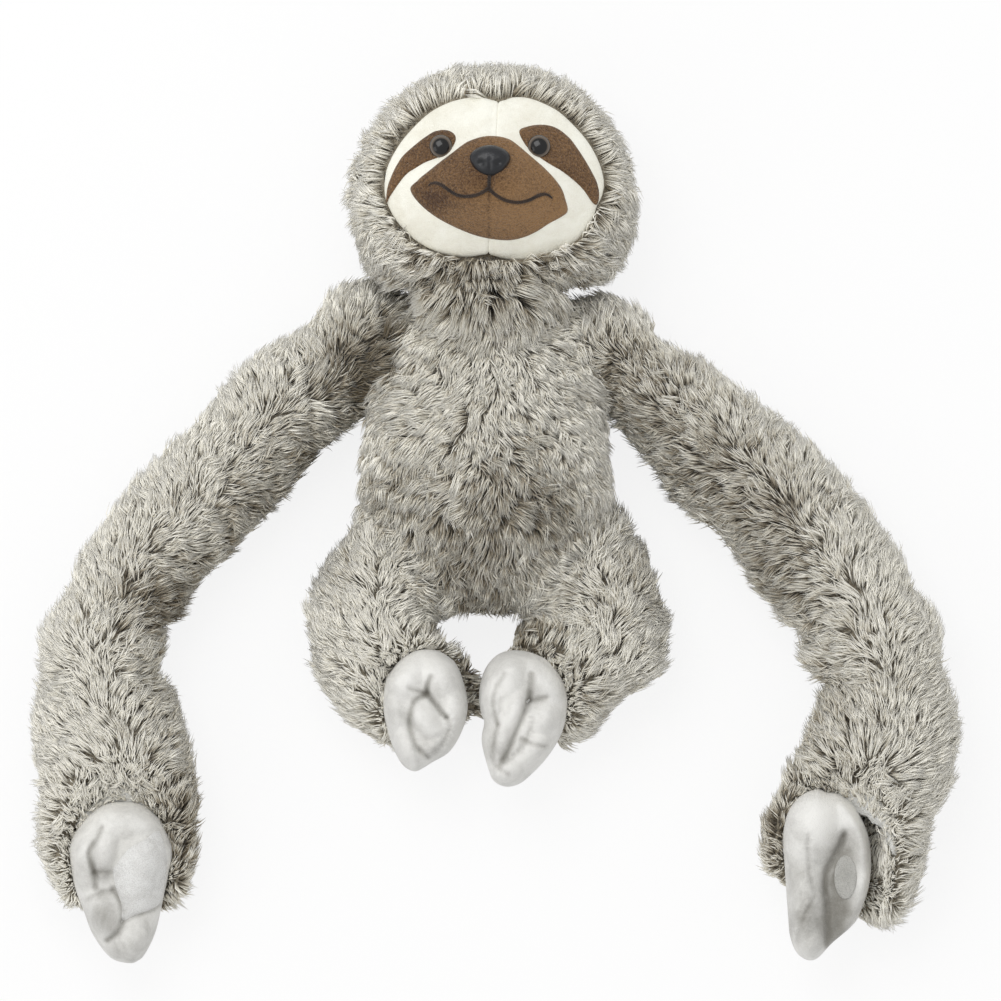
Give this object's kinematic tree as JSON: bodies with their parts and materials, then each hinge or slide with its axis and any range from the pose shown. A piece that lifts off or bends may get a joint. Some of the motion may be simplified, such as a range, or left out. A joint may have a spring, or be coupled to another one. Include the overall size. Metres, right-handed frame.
{
  "type": "plush sloth",
  "caption": "Long-armed plush sloth lying on its back, with a shaggy grey fur body, pale plush face, plastic eyes and nose, and soft velour paws and feet.",
  "frame": {"origin": "on the flat of the torso's back, midway along the torso as it lies", "axes": "+Z is the toy's front, away from the surface it lies on; +Y is towards its head; -X is its own right side"},
  "size_m": [0.4567, 0.4451, 0.1075],
  "materials": {
    "grey_fur": "long frosted pile, matte",
    "fibre_filling": "loose white fibre, matte",
    "cream_plush": "short soft pile, matte",
    "brown_velour": "short soft pile, matte",
    "grey_velour": "short velour, matte",
    "fastener_patch": "hook and loop tape, matte",
    "black_plastic": "glossy",
    "white_plastic": "plain moulded",
    "dark_thread": "satin stitch"
  },
  "bodies": {
    "torso": {"torso_cover": "grey_fur", "torso_stuffing": "fibre_filling"},
    "neck": {"neck_stuffing": "fibre_filling"},
    "head": {"head_cover": "grey_fur", "head_stuffing": "fibre_filling", "face_panel_right": "cream_plush", "face_panel_left": "cream_plush", "muzzle_panel": "brown_velour", "eye_patch_right": "brown_velour", "eye_patch_left": "brown_velour", "eye_right": "black_plastic", "eye_left": "black_plastic", "eye_right_washer": "white_plastic", "eye_left_washer": "white_plastic", "nose": "black_plastic", "nose_washer": "white_plastic", "smile_stitching": "dark_thread", "philtrum_stitching": "dark_thread"},
    "upper_arm_r": {"upper_arm_right_cover": "grey_fur", "upper_arm_right_stuffing": "fibre_filling"},
    "forearm_r": {"forearm_right_cover": "grey_fur", "forearm_right_stuffing": "fibre_filling"},
    "paw_r": {"paw_right_cover": "grey_velour", "paw_right_stuffing": "fibre_filling", "palm_patch_right": "fastener_patch"},
    "leg_r": {"leg_right_cover": "grey_fur", "leg_right_stuffing": "fibre_filling"},
    "foot_r": {"foot_right_cover": "grey_velour", "foot_right_stuffing": "fibre_filling"},
    "upper_arm_l": {"upper_arm_left_cover": "grey_fur", "upper_arm_left_stuffing": "fibre_filling"},
    "forearm_l": {"forearm_left_cover": "grey_fur", "forearm_left_stuffing": "fibre_filling"},
    "paw_l": {"paw_left_cover": "grey_velour", "paw_left_stuffing": "fibre_filling", "palm_patch_left": "fastener_patch"},
    "leg_l": {"leg_left_cover": "grey_fur", "leg_left_stuffing": "fibre_filling"},
    "foot_l": {"foot_left_cover": "grey_velour", "foot_left_stuffing": "fibre_filling"}
  },
  "joints": [
    {"name": "neck_turn", "type": "hinge", "parent": "torso", "child": "neck", "pos_m": [0, 0.082, 0.048], "axis": [0, 1, 0], "range_deg": [-45, 45]},
    {"name": "neck_nod", "type": "hinge", "parent": "neck", "child": "head", "pos_m": [0, 0.082, 0.048], "axis": [1, 0, 0], "range_deg": [-12, 12]},
    {"name": "shoulder_r", "type": "hinge", "parent": "torso", "child": "upper_arm_r", "pos_m": [-0.06138, 0.054, 0.03], "axis": [-1, 0, 0], "range_deg": [-30, 150]},
    {"name": "elbow_r", "type": "hinge", "parent": "upper_arm_r", "child": "forearm_r", "pos_m": [-0.19391, -0.09458, 0.0305], "axis": [-0.9933, 0.1152, 0], "range_deg": [0, 60]},
    {"name": "wrist_r", "type": "hinge", "parent": "forearm_r", "child": "paw_r", "pos_m": [-0.18337, -0.19372, 0.043], "axis": [-0.9978, -0.0656, 0], "range_deg": [0, 40]},
    {"name": "hip_r", "type": "hinge", "parent": "torso", "child": "leg_r", "pos_m": [-0.04488, -0.05496, 0.034], "axis": [0, 0, -1], "range_deg": [0, 40]},
    {"name": "ankle_r", "type": "hinge", "parent": "leg_r", "child": "foot_r", "pos_m": [-0.0325, -0.1175, 0.046], "axis": [-0.9994, 0.0349, 0], "range_deg": [0, 25]},
    {"name": "shoulder_l", "type": "hinge", "parent": "torso", "child": "upper_arm_l", "pos_m": [0.06138, 0.054, 0.03], "axis": [-1, 0, 0], "range_deg": [-30, 150]},
    {"name": "elbow_l", "type": "hinge", "parent": "upper_arm_l", "child": "forearm_l", "pos_m": [0.1951, -0.09472, 0.0305], "axis": [-0.9539, -0.3, 0], "range_deg": [0, 60]},
    {"name": "wrist_l", "type": "hinge", "parent": "forearm_l", "child": "paw_l", "pos_m": [0.17965, -0.1913, 0.043], "axis": [-0.9414, 0.3372, 0], "range_deg": [0, 40]},
    {"name": "hip_l", "type": "hinge", "parent": "torso", "child": "leg_l", "pos_m": [0.04488, -0.05496, 0.034], "axis": [0, 0, 1], "range_deg": [0, 40]},
    {"name": "ankle_l", "type": "hinge", "parent": "leg_l", "child": "foot_l", "pos_m": [0.0175, -0.1175, 0.046], "axis": [-0.9962, 0.0872, 0], "range_deg": [0, 25]}
  ]
}
